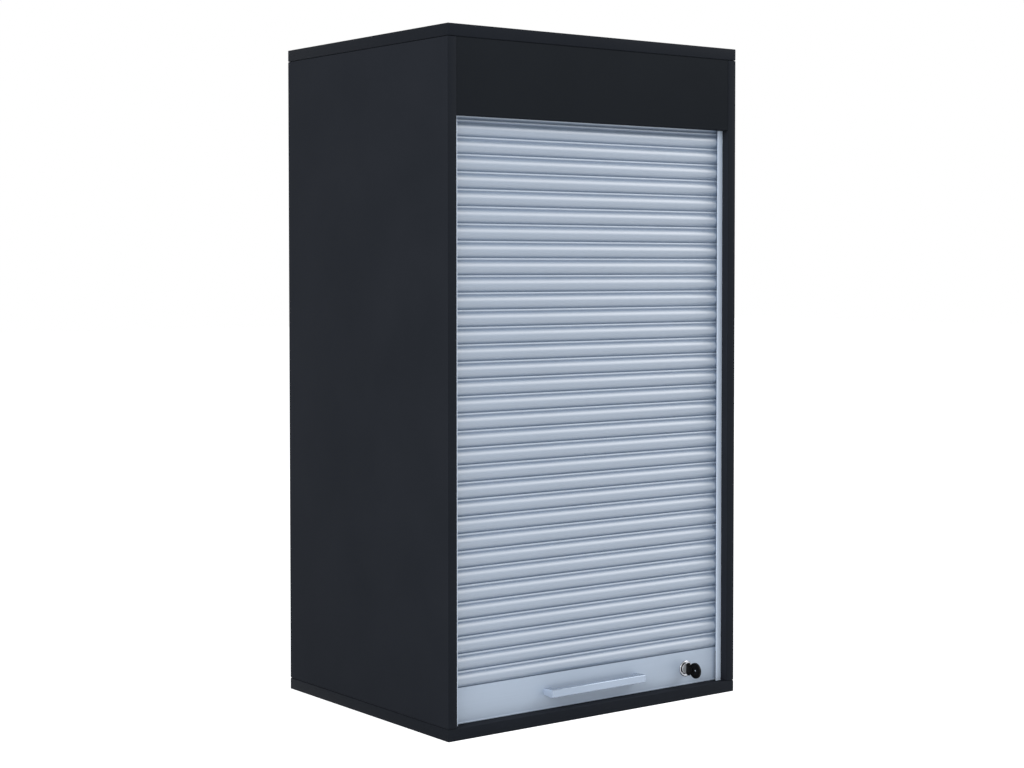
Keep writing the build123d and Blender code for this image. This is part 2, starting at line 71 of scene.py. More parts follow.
# Grain that can be drawn out along an axis: a broad tone for colour and a fine height for bump
def grainGroup():
    group, inside, outside = newGroup("grain", [
        ("Scale", "NodeSocketFloat", 400.0),
        ("Stretch", "NodeSocketVector", (1.0, 1.0, 1.0)),
        ("Mottle Scale", "NodeSocketFloat", 9.0)], ["Tone", "Mottle", "Height"])
    nodes, link = group.nodes, group.links.new
    place = nodes.new("ShaderNodeTexCoord")
    drawn = nodes.new("ShaderNodeVectorMath")
    drawn.operation = "MULTIPLY"
    link(place.outputs["Object"], drawn.inputs[0])
    link(inside.outputs["Stretch"], drawn.inputs[1])
    fine = nodes.new("ShaderNodeTexNoise")
    fine.inputs["Detail"].default_value = 4.0
    fine.inputs["Roughness"].default_value = 0.6
    link(drawn.outputs[0], fine.inputs["Vector"])
    link(inside.outputs["Scale"], fine.inputs["Scale"])
    broad = nodes.new("ShaderNodeTexNoise")
    broad.inputs["Detail"].default_value = 2.0
    link(place.outputs["Object"], broad.inputs["Vector"])
    link(inside.outputs["Mottle Scale"], broad.inputs["Scale"])
    both = nodes.new("ShaderNodeMath")
    both.operation = "MULTIPLY"
    link(fine.outputs["Fac"], both.inputs[0])
    link(broad.outputs["Fac"], both.inputs[1])
    spread = nodes.new("ShaderNodeMapRange")
    spread.inputs["From Min"].default_value = 0.12
    spread.inputs["From Max"].default_value = 0.42
    link(both.outputs[0], spread.inputs["Value"])
    link(spread.outputs["Result"], outside.inputs["Tone"])
    link(broad.outputs["Fac"], outside.inputs["Mottle"])
    link(fine.outputs["Fac"], outside.inputs["Height"])
    return group


grain = grainGroup()


# One finish: two close colours mixed by the grain, a roughness range and a shallow bump
def finish(name, look):
    material = bpy.data.materials.new(name)
    material.use_nodes = True
    nodes, link = material.node_tree.nodes, material.node_tree.links.new
    shader = nodes["Principled BSDF"]
    shader.inputs["Metallic"].default_value = look.get("metallic", 0.0)
    shader.inputs["Specular IOR Level"].default_value = look.get("specular", 0.5)
    shader.inputs["Coat Weight"].default_value = look.get("coat", 0.0)
    shader.inputs["Coat Roughness"].default_value = look.get("coatRoughness", 0.1)
    shader.inputs["Coat IOR"].default_value = look.get("coatIor", 1.5)
    texture = nodes.new("ShaderNodeGroup")
    texture.node_tree = grain
    texture.inputs["Scale"].default_value = look["grain"]
    texture.inputs["Stretch"].default_value = look.get("stretch", (1.0, 1.0, 1.0))
    texture.inputs["Mottle Scale"].default_value = look.get("mottle", 9.0)
    colour = nodes.new("ShaderNodeMix")
    colour.data_type = "RGBA"
    colour.inputs["A"].default_value = (*look["dark"], 1.0)
    colour.inputs["B"].default_value = (*look["light"], 1.0)
    link(texture.outputs["Tone"], colour.inputs["Factor"])
    link(colour.outputs["Result"], shader.inputs["Base Color"])
    rough = nodes.new("ShaderNodeMapRange")
    rough.inputs["To Min"].default_value, rough.inputs["To Max"].default_value = look["rough"]
    link(texture.outputs["Mottle"], rough.inputs["Value"])
    link(rough.outputs["Result"], shader.inputs["Roughness"])
    bump = nodes.new("ShaderNodeBump")
    bump.inputs["Strength"].default_value = look.get("bump", 0.1)
    bump.inputs["Distance"].default_value = look.get("depth", 0.0001)
    link(texture.outputs["Height"], bump.inputs["Height"])
    link(bump.outputs["Normal"], shader.inputs["Normal"])
    return material


boardFace = finish("boardFace", {
    "dark": (0.0199, 0.0226, 0.0285), "light": (0.0243, 0.0271, 0.0337), "grain": 900.0,
    "rough": (0.56, 0.66), "specular": 0.006, "bump": 0.16, "depth": 0.00008})
# painted shade: the edge faces get a darker tone than the broad faces of the same board, as the
# edges catch more of the lamps
boardEdgeShaded = finish("boardEdgeShaded", {
    "dark": (0.0120, 0.0142, 0.0187), "light": (0.0145, 0.0169, 0.0218), "grain": 700.0,
    "stretch": (0.15, 0.15, 1.0), "rough": (0.50, 0.58), "specular": 0.03, "bump": 0.08})
backFace = finish("backFace", {
    "dark": (0.018, 0.021, 0.026), "light": (0.023, 0.027, 0.033), "grain": 1400.0,
    "rough": (0.66, 0.78), "specular": 0.12, "bump": 0.3, "depth": 0.0001})
paintedSheet = finish("paintedSheet", {
    "dark": (0.0116, 0.0136, 0.0168), "light": (0.0136, 0.0159, 0.0195), "grain": 1800.0,
    "rough": (0.52, 0.60), "specular": 0.02, "bump": 0.22, "depth": 0.00006})
slatPlastic = finish("slatPlastic", {
    "dark": (0.179, 0.240, 0.330), "light": (0.200, 0.263, 0.356), "grain": 900.0,
    "stretch": (0.012, 1.0, 1.0), "rough": (0.40, 0.46), "specular": 1.0, "coat": 1.0,
    "coatIor": 2.0, "coatRoughness": 0.47, "bump": 0.03, "depth": 0.00005})
# painted highlight: a lighter copy of the slat plastic for the bead between the domes
slatBeadHighlight = finish("slatBeadHighlight", {
    "dark": (0.335, 0.405, 0.495), "light": (0.360, 0.430, 0.525), "grain": 900.0,
    "stretch": (0.012, 1.0, 1.0), "rough": (0.36, 0.42), "specular": 1.0, "coat": 0.6,
    "coatRoughness": 0.30, "bump": 0.03, "depth": 0.00005})
# painted shade: a darker copy of the slat plastic for the faces deep between two domes
slatPocketShade = finish("slatPocketShade", {
    "dark": (0.27, 0.33, 0.43), "light": (0.30, 0.36, 0.47), "grain": 900.0,
    "stretch": (0.012, 1.0, 1.0), "rough": (0.55, 0.65), "specular": 0.2})
# painted light: the rail gets a far lighter colour than the slat plastic, making up for the shade
# that the side board casts on its lip
railPlasticLightened = finish("railPlasticLightened", {
    "dark": (0.62, 0.72, 0.86), "light": (0.65, 0.75, 0.89), "grain": 900.0,
    "stretch": (1.0, 1.0, 0.012), "rough": (0.38, 0.48), "specular": 1.0, "bump": 0.05,
    "depth": 0.00005})
barSilver = finish("barSilver", {
    "dark": (0.364, 0.437, 0.540), "light": (0.390, 0.466, 0.573), "grain": 1100.0,
    "stretch": (0.01, 1.0, 1.0), "rough": (0.38, 0.46), "specular": 1.0, "bump": 0.04,
    "depth": 0.00004})
handleSilver = finish("handleSilver", {
    "dark": (0.32, 0.380, 0.465), "light": (0.355, 0.415, 0.505), "grain": 1500.0,
    "stretch": (0.01, 1.0, 1.0), "rough": (0.20, 0.27), "metallic": 0.6, "bump": 0.06,
    "depth": 0.00004})
# painted light: a lighter copy of the handle's finish for its end faces, as if lit from the side
handleEndLit = finish("handleEndLit", {
    "dark": (0.58, 0.66, 0.78), "light": (0.64, 0.72, 0.84), "grain": 1500.0,
    "rough": (0.30, 0.38), "metallic": 0.4, "bump": 0.04, "depth": 0.00004})
chrome = finish("chrome", {
    "dark": (0.36, 0.37, 0.40), "light": (0.44, 0.45, 0.48), "grain": 300.0, "rough": (0.12, 0.20),
    "metallic": 1.0, "bump": 0.02})
satinChrome = finish("satinChrome", {
    "dark": (0.66, 0.68, 0.72), "light": (0.76, 0.78, 0.82), "grain": 900.0, "rough": (0.34, 0.44),
    "metallic": 0.7, "bump": 0.06})
zincPlate = finish("zincPlate", {
    "dark": (0.50, 0.52, 0.56), "light": (0.66, 0.68, 0.72), "grain": 260.0, "mottle": 120.0,
    "rough": (0.24, 0.40), "metallic": 1.0, "bump": 0.08})
darkMoulding = finish("darkMoulding", {
    "dark": (0.040, 0.044, 0.050), "light": (0.052, 0.057, 0.064), "grain": 1500.0,
    "rough": (0.42, 0.54), "bump": 0.2, "depth": 0.00006})
keyBlack = finish("keyBlack", {
    "dark": (0.0015, 0.0015, 0.0018), "light": (0.0030, 0.0030, 0.0034), "grain": 1500.0,
    "rough": (0.42, 0.54), "specular": 0.08, "bump": 0.1, "depth": 0.00004})
sealRubber = finish("sealRubber", {
    "dark": (0.006, 0.006, 0.007), "light": (0.010, 0.010, 0.011), "grain": 1200.0,
    "rough": (0.72, 0.86), "specular": 0.25, "bump": 0.2, "depth": 0.00006})
print("finishes ready:", len(bpy.data.materials))


# ---- mesh tools ----
def addBox(bm, low, high):
    verts = bmesh.ops.create_cube(bm, size=1.0)["verts"]
    low, high = Vector(low), Vector(high)
    bmesh.ops.scale(bm, vec=high - low, verts=verts)
    bmesh.ops.translate(bm, vec=(low + high) / 2, verts=verts)
    return verts


def addRod(bm, radius, start, end, steps=32, endRadius=None):
    start, end = Vector(start), Vector(end)
    along = end - start
    turn = along.to_track_quat("Z", "Y").to_matrix().to_4x4()
    return bmesh.ops.create_cone(
        bm, cap_ends=True, segments=steps, radius1=radius,
        radius2=radius if endRadius is None else endRadius, depth=along.length,
        matrix=Matrix.Translation((start + end) / 2) @ turn)["verts"]


def ease(bm, edges, width, segments=3):
    return bmesh.ops.bevel(bm, geom=list(edges), offset=width, offset_type="OFFSET",
                           affect="EDGES", segments=segments, profile=0.5, material=-1,
                           clamp_overlap=True)


def sharpEdges(bm, angle=30):
    return [e for e in bm.edges if len(e.link_faces) == 2 and e.calc_face_angle() > radians(angle)]


# Pulls flat faces along a direction, so that they become a closed solid
def pull(bm, faces, along):
    made = bmesh.ops.extrude_face_region(bm, geom=list(faces))["geom"]
    moved = [v for v in made if isinstance(v, bmesh.types.BMVert)]
    bmesh.ops.translate(bm, vec=Vector(along), verts=moved)
    return moved


# A flat shape between corner points, pulled along a direction
def pullOutline(bm, corners, along):
    pull(bm, [bm.faces.new([bm.verts.new(corner) for corner in corners])], along)


# The edges that run along an axis: straight is the least cosine between the two
def edgesAlong(bm, axis, straight=0.999):
    axis = Vector(axis)
    return [e for e in bm.edges
            if abs((e.verts[1].co - e.verts[0].co).normalized().dot(axis)) > straight]


# The edges whose two ends lie on the given places
def edgesAt(bm, **places):
    return [e for e in bm.edges if all(
        abs(getattr(v.co, axis) - place) < near for v in e.verts for axis, place in places.items())]


# An arc in the Y-Z plane from a vertex round a centre, and a straight line on from it
def arcFrom(bm, vert, y, z, angle, steps):
    made = bmesh.ops.spin(bm, geom=[vert], cent=(vert.co.x, y, z), axis=(1, 0, 0), angle=angle,
                          steps=steps, use_merge=False, use_duplicate=False)
    return next(v for v in made["geom_last"] if isinstance(v, bmesh.types.BMVert))


def lineFrom(bm, vert, y, z):
    following = bm.verts.new((vert.co.x, y, z))
    bm.edges.new((vert, following))
    return following


# Turns a chain of points (distance from the axis, place along it) once round an axis
def lathe(bm, chain, centre, axis, side, steps=48, closed=False):
    centre, axis, side = Vector(centre), Vector(axis), Vector(side)
    verts = [bm.verts.new(centre + axis * along + side * away) for away, along in chain]
    edges = [bm.edges.new(pair) for pair in zip(verts, verts[1:] + verts[:1] * closed)]
    bmesh.ops.spin(bm, geom=verts + edges, cent=centre, axis=axis, angle=2 * pi, steps=steps,
                   use_merge=True, use_duplicate=False)
    bmesh.ops.remove_doubles(bm, verts=bm.verts, dist=near)


def finishPiece(name, bm, body, materials, replaces=(), smooth=34):
    bmesh.ops.remove_doubles(bm, verts=bm.verts, dist=2 * near)
    bmesh.ops.recalc_face_normals(bm, faces=bm.faces)
    mesh = bpy.data.meshes.new(name)
    bm.to_mesh(mesh)
    bm.free()
    for material in materials:
        mesh.materials.append(material)
    mesh.shade_smooth()
    mesh.set_sharp_from_angle(angle=radians(smooth))
    piece = bpy.data.objects.new(name, mesh)
    scene.collection.objects.link(piece)
    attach(piece, body)
    if replaces:
        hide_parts(*replaces)
    return piece


# Cuts a second mesh out of the first and hands back the result
def cutAway(bm, cutter, operation="DIFFERENCE", ownOverlaps=False):
    holders = []
    for part in (bm, cutter):
        bmesh.ops.recalc_face_normals(part, faces=part.faces)
        mesh = bpy.data.meshes.new("cutWork")
        part.to_mesh(mesh)
        part.free()
        holder = bpy.data.objects.new("cutWork", mesh)
        scene.collection.objects.link(holder)
        holders.append(holder)
    body, tool = holders
    modifier = body.modifiers.new("cut", "BOOLEAN")
    modifier.operation = operation
    modifier.solver = "EXACT"
    modifier.use_self = ownOverlaps
    modifier.object = tool
    result = bmesh.new()
    result.from_object(body, bpy.context.evaluated_depsgraph_get())
    for holder in holders:
        mesh = holder.data
        bpy.data.objects.remove(holder)
        bpy.data.meshes.remove(mesh)
    return result


# Gives the faces that look along a direction another material
def paintFaces(bm, direction, index, limit=0.9):
    direction = Vector(direction)
    bm.normal_update()
    for face in bm.faces:
        if face.normal.dot(direction) > limit:
            face.material_index = index


# ---- boards ----
boards = {"edgeRadius": 0.0012, "holeRadius": 0.00255, "holeDepth": 0.010, "holePitch": 0.032,
          "slit": 0.0004, "groovePlay": 0.0001, "legGroove": 0.0022, "edgeLimit": 0.3}


def plainBoard(name, edgeSides=((0, -1, 0),), radius=None, face=boardFace):
    low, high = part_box(name)
    bm = bmesh.new()
    addBox(bm, low, high)
    ease(bm, bm.edges, radius or boards["edgeRadius"])
    # the edge faces get the darker board tone, which is painted shade
    for side in edgeSides:
        paintFaces(bm, side, 1, limit=boards["edgeLimit"])
    return finishPiece(name + "_board", bm, "cabinet", [face, boardEdgeShaded], [name])


allRound = ((0, -1, 0), (0, 1, 0), (1, 0, 0), (-1, 0, 0))
for capName in ("base_board", "top_board"):
    plainBoard(capName, edgeSides=allRound)
for shelfName in ("shelf_lower", "shelf_upper"):
    plainBoard(shelfName)
plainBoard("ceiling_board")
plainBoard("back_panel", edgeSides=(), radius=0.0003, face=backFace)


def sideBoard(name, hand):
    low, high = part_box(name)
    bm = bmesh.new()
    slit = Vector((0, 0, boards["slit"]))
    addBox(bm, low + slit, high - slit)
    ease(bm, bm.edges, boards["edgeRadius"])
    inner = low.x if hand > 0 else high.x
    cutter = bmesh.new()
    # holes for the shelf pins: the one in use and the one a pitch lower
    pinLow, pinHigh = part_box("shelf_pins")
    radius = (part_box("shelf_lower")[0].z - pinLow.z) / 2
    for y in (pinLow.y + radius, pinHigh.y - radius):
        for z in (pinLow.z + radius, pinHigh.z - radius):
            for drop in (0.0, boards["holePitch"]):
                start = Vector((inner, y, z - drop))
                addRod(cutter, boards["holeRadius"], start - Vector((hand * past, 0, 0)),
                       start + Vector((hand * boards["holeDepth"], 0, 0)))
    # groove of the back panel
    mouth, play = inner - hand * past, boards["groovePlay"]
    panelLow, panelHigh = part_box("back_panel")
    first, last = sorted((mouth, panelHigh.x if hand > 0 else panelLow.x))
    addBox(cutter, (first, panelLow.y - play, low.z - past),
           (last, panelHigh.y + play, high.z + past))
    # groove of the rail's leg
    railLow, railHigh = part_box("guide_right" if hand > 0 else "guide_left")
    first, last = sorted((mouth, railHigh.x if hand > 0 else railLow.x))
    legY, half = (railLow.y + railHigh.y) / 2, boards["legGroove"] / 2
    addBox(cutter, (first, legY - half, low.z - past), (last, legY + half, railHigh.z))
    bm = cutAway(bm, cutter)
    # the front and back edges get the darker board tone, which is painted shade
    for side in ((0, -1, 0), (0, 1, 0)):
        paintFaces(bm, side, 1, limit=boards["edgeLimit"])
    return finishPiece(name + "_board", bm, "cabinet", [boardFace, boardEdgeShaded], [name])


sideBoard("side_left", -1)
sideBoard("side_right", 1)
print("boards done")

# ---- curtain ----
slat = {"pitch": 0.02235, "gap": 0.0052, "rise": 0.0048, "boxDepth": 0.0015,
        "beadRadius": 0.0015, "beadPlay": 0.0001, "hookWall": 0.00085, "hookStart": 62.0,
        "hookEnd": -35.0, "neck": 0.0009, "pocket": 0.001, "domeSteps": 24, "hookSteps": 9,
        "beadSteps": 20}


# The section of a slat, from the hook at its lower hinge line up to its own bead
def slatSection(bm, x, crown, base):
    hinge = crown + slat["rise"]
    back = hinge + slat["boxDepth"]
    bottom = base + slat["gap"] / 2
    top = base + slat["pitch"] - slat["gap"] / 2
    inner = slat["beadRadius"] + slat["beadPlay"]
    outer = inner + slat["hookWall"]
    upperHinge = base + slat["pitch"]
    start = bm.verts.new((x, hinge, top))
    # dome from its upper edge down, then the hook that wraps the bead of the piece below
    half = (top - bottom) / 2
    domeRadius = (half ** 2 + slat["rise"] ** 2) / (2 * slat["rise"])
    at = arcFrom(bm, start, crown + domeRadius, (top + bottom) / 2, 2 * asin(half / domeRadius),
                 slat["domeSteps"])
    first, tip = radians(slat["hookStart"]), radians(slat["hookEnd"])
    at = lineFrom(bm, at, hinge + inner * cos(first), base + inner * sin(first))
    at = arcFrom(bm, at, hinge, base, tip - first, slat["hookSteps"])
    at = lineFrom(bm, at, hinge + outer * cos(tip), base + outer * sin(tip))
    flank = acos(slat["boxDepth"] / outer)                # where the hook meets the flat back
    at = arcFrom(bm, at, hinge, base, flank - tip, slat["hookSteps"])
    at = lineFrom(bm, at, back, top)
    # the neck and the bead that the next slat hooks over
    at = lineFrom(bm, at, hinge + slat["neck"], top)
    slope = asin(slat["neck"] / slat["beadRadius"])
    at = lineFrom(bm, at, hinge + slat["neck"], upperHinge - slat["beadRadius"] * cos(slope))
    at = arcFrom(bm, at, hinge, upperHinge, 2 * pi - slope, slat["beadSteps"])
    bm.edges.new((at, start))
    return bmesh.ops.contextual_create(bm, geom=bm.edges[:])["faces"]


# The hook's web and the neck lie deep between two domes: their faces get a darker copy of the slat
# plastic, painted shade for that recess, and the bead gets a lighter copy, a painted highlight
# where it catches the light
def paintSlat(bm, crown, base):
    hinge = crown + slat["rise"]
    bead = Vector((hinge, base + slat["pitch"]))
    for face in bm.faces:
        middle = face.calc_center_median()
        if (middle.yz - bead).length < slat["beadRadius"] + slat["beadPlay"]:
            face.material_index = 2
        elif hinge - slat["beadPlay"] < middle.y < hinge + slat["pocket"]:
            face.material_index = 1


for name in slatNames:
    low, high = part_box(name)
    bm = bmesh.new()
    base = high.z - slat["beadRadius"] - slat["pitch"]
    faces = slatSection(bm, low.x, low.y, base)
    pull(bm, faces, (high.x - low.x, 0, 0))
    paintSlat(bm, low.y, base)
    piece = finishPiece(name.replace("slat_", "curtain_"), bm, "cabinet",
                        [slatPlastic, slatPocketShade, slatBeadHighlight], [name])
    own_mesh(piece)
print("curtain done")

# ---- fascia: a folded sheet under the top board, with a lower flange that ends at the rails ----
fascia = {"sheet": 0.0012, "bend": 0.0015, "ease": 0.00025, "railGap": 0.0002, "screwX": 0.176,
          "screwY": -0.1788, "screwHole": 0.0021, "holeDeep": 0.004}


def makeFascia():
    low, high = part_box("fascia")
    bm = bmesh.new()
    sheet, bend = fascia["sheet"], fascia["bend"]
    inner, under, over = low.y + sheet, high.z - sheet, low.z + sheet
    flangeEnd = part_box("guide_left")[0].y - fascia["railGap"]
    pullOutline(bm, [(low.x, low.y, low.z), (low.x, low.y, high.z), (low.x, high.y, high.z),
                     (low.x, high.y, under), (low.x, inner, under), (low.x, inner, over),
                     (low.x, flangeEnd, over), (low.x, flangeEnd, low.z)],
                (high.x - low.x, 0, 0))
    ease(bm, edgesAt(bm, y=low.y, z=high.z) + edgesAt(bm, y=low.y, z=low.z), bend, segments=5)
    ease(bm, edgesAt(bm, y=inner, z=under) + edgesAt(bm, y=inner, z=over), bend - sheet, segments=4)
    ease(bm, edgesAt(bm, y=flangeEnd, z=over) + edgesAt(bm, y=flangeEnd, z=low.z),
         fascia["ease"], segments=2)
    cutter = bmesh.new()
    for x in (-fascia["screwX"], fascia["screwX"]):
        middle = Vector((x, fascia["screwY"], high.z))
        addRod(cutter, fascia["screwHole"], middle - Vector((0, 0, fascia["holeDeep"])),
               middle + Vector((0, 0, past)), steps=24)
    finishPiece("fascia_sheet", cutAway(bm, cutter), "cabinet", [paintedSheet],
                ["fascia"])


makeFascia()

# ---- guide rails: a channel with a front lip and a leg in the side board ----
rail = {"wall": 0.0012, "lip": 0.0092, "leg": 0.006, "legSheet": 0.002, "ease": 0.0003}


def makeRail(name, hand):
    low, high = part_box(name)
    wall, inner = rail["wall"], abs(low.x if hand < 0 else high.x) - rail["leg"]
    legFront = (low.y + high.y) / 2 - rail["legSheet"] / 2
    legBack = legFront + rail["legSheet"]

    def corner(inward, y):
        return (hand * (inner - inward), y, low.z)

    bm = bmesh.new()
    pullOutline(bm, [
        corner(0, low.y), corner(rail["lip"], low.y), corner(rail["lip"], low.y + wall),
        corner(wall, low.y + wall), corner(wall, high.y - wall),
        corner(rail["lip"] - wall, high.y - wall), corner(rail["lip"] - wall, high.y),
        corner(0, high.y), corner(0, legBack), corner(-rail["leg"], legBack),
        corner(-rail["leg"], legFront), corner(0, legFront)], (0, 0, high.z - low.z))
    ease(bm, edgesAlong(bm, (0, 0, 1)), rail["ease"], segments=3)
    finishPiece(name + "_channel", bm, "cabinet", [railPlasticLightened], [name])


makeRail("guide_left", -1)
makeRail("guide_right", 1)
print("fascia and rails done")

# ---- shelf pins and panel screws ----
pin = {"radius": 0.0025, "shank": 0.0095, "stub": 0.008, "tip": 0.0005}
screw = {"radius": 0.002, "root": 0.00155, "headRadius": 0.0036, "headHeight": 0.0023,
         "rim": 0.0005, "turn": 0.0008, "length": 0.011, "recessLong": 0.0036,
         "recessWide": 0.0009, "recessDeep": 0.0014, "strikeX": (0.165, 0.179),
         "strikeY": -0.1538, "barLength": 0.0114}


def makePins():
    low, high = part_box("shelf_pins")
    bm = bmesh.new()
    length = pin["shank"] + pin["stub"]
    tip = pin["tip"]
    chain = [(0, 0), (pin["radius"] - tip, 0), (pin["radius"], tip),
             (pin["radius"], length - tip), (pin["radius"] - tip, length), (0, length)]
    for hand, x in ((-1, low.x), (1, high.x)):
        for y in (low.y + pin["radius"], high.y - pin["radius"]):
            for z in (low.z + pin["radius"], high.z - pin["radius"]):
                lathe(bm, chain, (x, y, z), (-hand, 0, 0), (0, 0, 1), steps=24)
    finishPiece("shelf_pin_set", bm, "cabinet", [zincPlate], ["shelf_pins"])


makePins()


# A cross-recessed cheese-head screw: the head lies against the point, the shank runs on
def addScrew(bm, recess, point, along, length):
    point, along = Vector(point), Vector(along)
    side = along.orthogonal().normalized()
    head, rim = screw["headHeight"], screw["rim"]
    chain = [(0, -head), (screw["headRadius"] - rim, -head), (screw["headRadius"], rim - head),
             (screw["headRadius"], 0), (screw["radius"], 0)]
    at = screw["turn"]
    while at < length - 2 * screw["turn"]:
        chain += [(screw["radius"], at), (screw["root"], at + screw["turn"] / 2)]
        at += screw["turn"]
    chain += [(screw["radius"], at), (screw["root"] / 2, length), (0, length)]
    lathe(bm, chain, point, along, side, steps=24)
    other = along.cross(side)
    top = point - along * head
    turn = Matrix((side, other, along)).transposed().to_4x4()
    for long, wide in ((screw["recessLong"], screw["recessWide"]),
                       (screw["recessWide"], screw["recessLong"])):
        verts = bmesh.ops.create_cube(recess, size=1.0)["verts"]
        bmesh.ops.scale(recess, vec=(long, wide, 2 * screw["recessDeep"]), verts=verts)
        bmesh.ops.transform(recess, matrix=Matrix.Translation(top) @ turn, verts=verts)


def cutRecesses(bm, recess):
    return cutAway(bm, recess, ownOverlaps=True)


def makePanelScrews():
    bm, recess = bmesh.new(), bmesh.new()
    for x in screw["strikeX"]:
        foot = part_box("strike_plate")[0].z + strike["sheet"]
        addScrew(bm, recess, (x, screw["strikeY"], foot), (0, 0, -1), screw["length"])
    for x in (-fascia["screwX"], fascia["screwX"]):
        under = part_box("fascia")[1].z - fascia["sheet"]
        addScrew(bm, recess, (x, fascia["screwY"], under), (0, 0, 1), screw["length"])
    finishPiece("panel_screw_set", cutRecesses(bm, recess), "cabinet", [zincPlate],
                ["panel_screws"])


# ---- strike: a bent steel plate that the cam hooks under ----
strike = {"sheet": 0.0016, "lip": 0.0014, "foot": 0.016, "bend": 0.0011, "corner": 0.002,
          "hole": 0.0021, "left": 0.167, "right": 0.176}


def makeStrike():
    low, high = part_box("strike_plate")
    sheet = strike["sheet"]
    upright = high.y - strike["foot"]
    lipFoot = high.z - strike["lip"]
    bm = bmesh.new()
    pullOutline(bm, [(strike["left"], low.y, high.z), (strike["left"], upright + sheet, high.z),
                     (strike["left"], upright + sheet, low.z + sheet),
                     (strike["left"], high.y, low.z + sheet), (strike["left"], high.y, low.z),
                     (strike["left"], upright, low.z), (strike["left"], upright, lipFoot),
                     (strike["left"], low.y, lipFoot)],
                (strike["right"] - strike["left"], 0, 0))
    ease(bm, edgesAt(bm, y=upright + sheet, z=high.z), strike["bend"], segments=4)
    wings = bmesh.new()
    addBox(wings, (low.x, upright + sheet, low.z), (high.x, high.y, low.z + sheet))
    ease(wings, edgesAlong(wings, (0, 0, 1)), strike["corner"], segments=4)
    bm = cutAway(bm, wings, "UNION")
    cutter = bmesh.new()
    for x in screw["strikeX"]:
        addRod(cutter, strike["hole"], (x, screw["strikeY"], low.z - past),
               (x, screw["strikeY"], low.z + sheet + past), steps=24)
    bm = cutAway(bm, cutter)
    finishPiece("strike_bracket", bm, "cabinet", [zincPlate], ["strike_plate"])


makePanelScrews()
makeStrike()
print("pins, screws and strike done")

# ---- end bar with its seal and shoes ----
bar = {"wall": 0.0012, "lipRise": 0.0016, "lipMore": 0.0006, "lipBack": 0.0005,
       "beadBack": 0.0017, "ease": 0.0005, "band": 0.009, "middle": 0.0403, "sealStem": 0.0024,
       "sealEase": 0.0006, "stem": 0.0012, "play": 0.0001, "barrel": 0.0091,
       "barrelFlats": 0.0166, "lockX": 0.172, "lockZ": 0.040, "screwX": 0.07675,
       "screwHole": 0.0021, "toeHigh": 0.0017, "toeOut": 0.0006, "toeIn": 0.0007,
       "toeDrop": 0.0004}


def addDoubleD(bm, radius, flats, front, back, steps=48):
    verts = addRod(bm, radius, (bar["lockX"], front, bar["lockZ"]),
                   (bar["lockX"], back, bar["lockZ"]), steps)
    for hand in (-1, 1):
        for vert in verts:
            if hand * (vert.co.x - bar["lockX"]) > flats / 2:
                vert.co.x = bar["lockX"] + hand * flats / 2


def makeBar():
    low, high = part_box("end_bar")
    hingeY, hingeZ = low.y + bar["beadBack"], high.z - bar["lipRise"]
    boxTop = hingeZ - slat["gap"] / 2
    lipTop = high.z + bar["lipMore"]
    radius, neckBack, lipBack = slat["beadRadius"], slat["neck"] / 2, bar["lipBack"]
    # the bead for the lowest slat hides behind a lip of the bar's front
    bm = bmesh.new()
    start = bm.verts.new((low.x, hingeY - lipBack, lipTop))
    at = lineFrom(bm, start, hingeY - lipBack, hingeZ + sqrt(radius ** 2 - lipBack ** 2))
    sweep = pi / 2 + asin(lipBack / radius) + acos(neckBack / radius)
    at = arcFrom(bm, at, hingeY, hingeZ, -sweep, slat["beadSteps"])
    toeFront, toeBack = low.y - bar["toeOut"], low.y + bar["toeIn"]
    toeFoot = low.z - bar["toeDrop"]
    for y, z in ((hingeY + neckBack, boxTop), (high.y, boxTop), (high.y, low.z),
                 (toeBack, low.z), (toeBack, toeFoot), (toeFront, toeFoot),
                 (toeFront, low.z + bar["toeHigh"]), (low.y, low.z + bar["toeHigh"]),
                 (low.y, lipTop)):
        at = lineFrom(bm, at, y, z)
    bm.edges.new((at, start))
    pull(bm, bmesh.ops.contextual_create(bm, geom=bm.edges[:])["faces"], (high.x - low.x, 0, 0))
    ease(bm, edgesAt(bm, y=low.y, z=lipTop) + edgesAt(bm, y=high.y, z=boxTop)
         + edgesAt(bm, y=high.y, z=low.z) + edgesAt(bm, y=toeFront, z=toeFoot)
         + edgesAt(bm, y=toeFront, z=low.z + bar["toeHigh"]), bar["ease"], segments=4)
    cutter = bmesh.new()
    wall, stem = bar["wall"], (low.y + high.y) / 2
    for bottom, top in ((low.z + bar["sealStem"] + 2 * wall, bar["middle"] - bar["band"]),
                        (bar["middle"] + bar["band"], boxTop - wall)):
        addBox(cutter, (low.x - past, low.y + wall, bottom),
               (high.x + past, high.y - wall, top))
    addBox(cutter, (low.x - past, stem - bar["stem"] / 2 - bar["play"], low.z - past),
           (high.x + past, stem + bar["stem"] / 2 + bar["play"],
            low.z + bar["sealStem"] + bar["play"]))
    addDoubleD(cutter, bar["barrel"], bar["barrelFlats"], low.y - past, high.y + past)
    for x in (-bar["screwX"], bar["screwX"]):
        addRod(cutter, bar["screwHole"], (x, low.y - past, bar["middle"]),
               (x, high.y + past, bar["middle"]), steps=24)
    finishPiece("end_bar_profile", cutAway(bm, cutter), "shutter_bar", [barSilver],
                ["end_bar"])


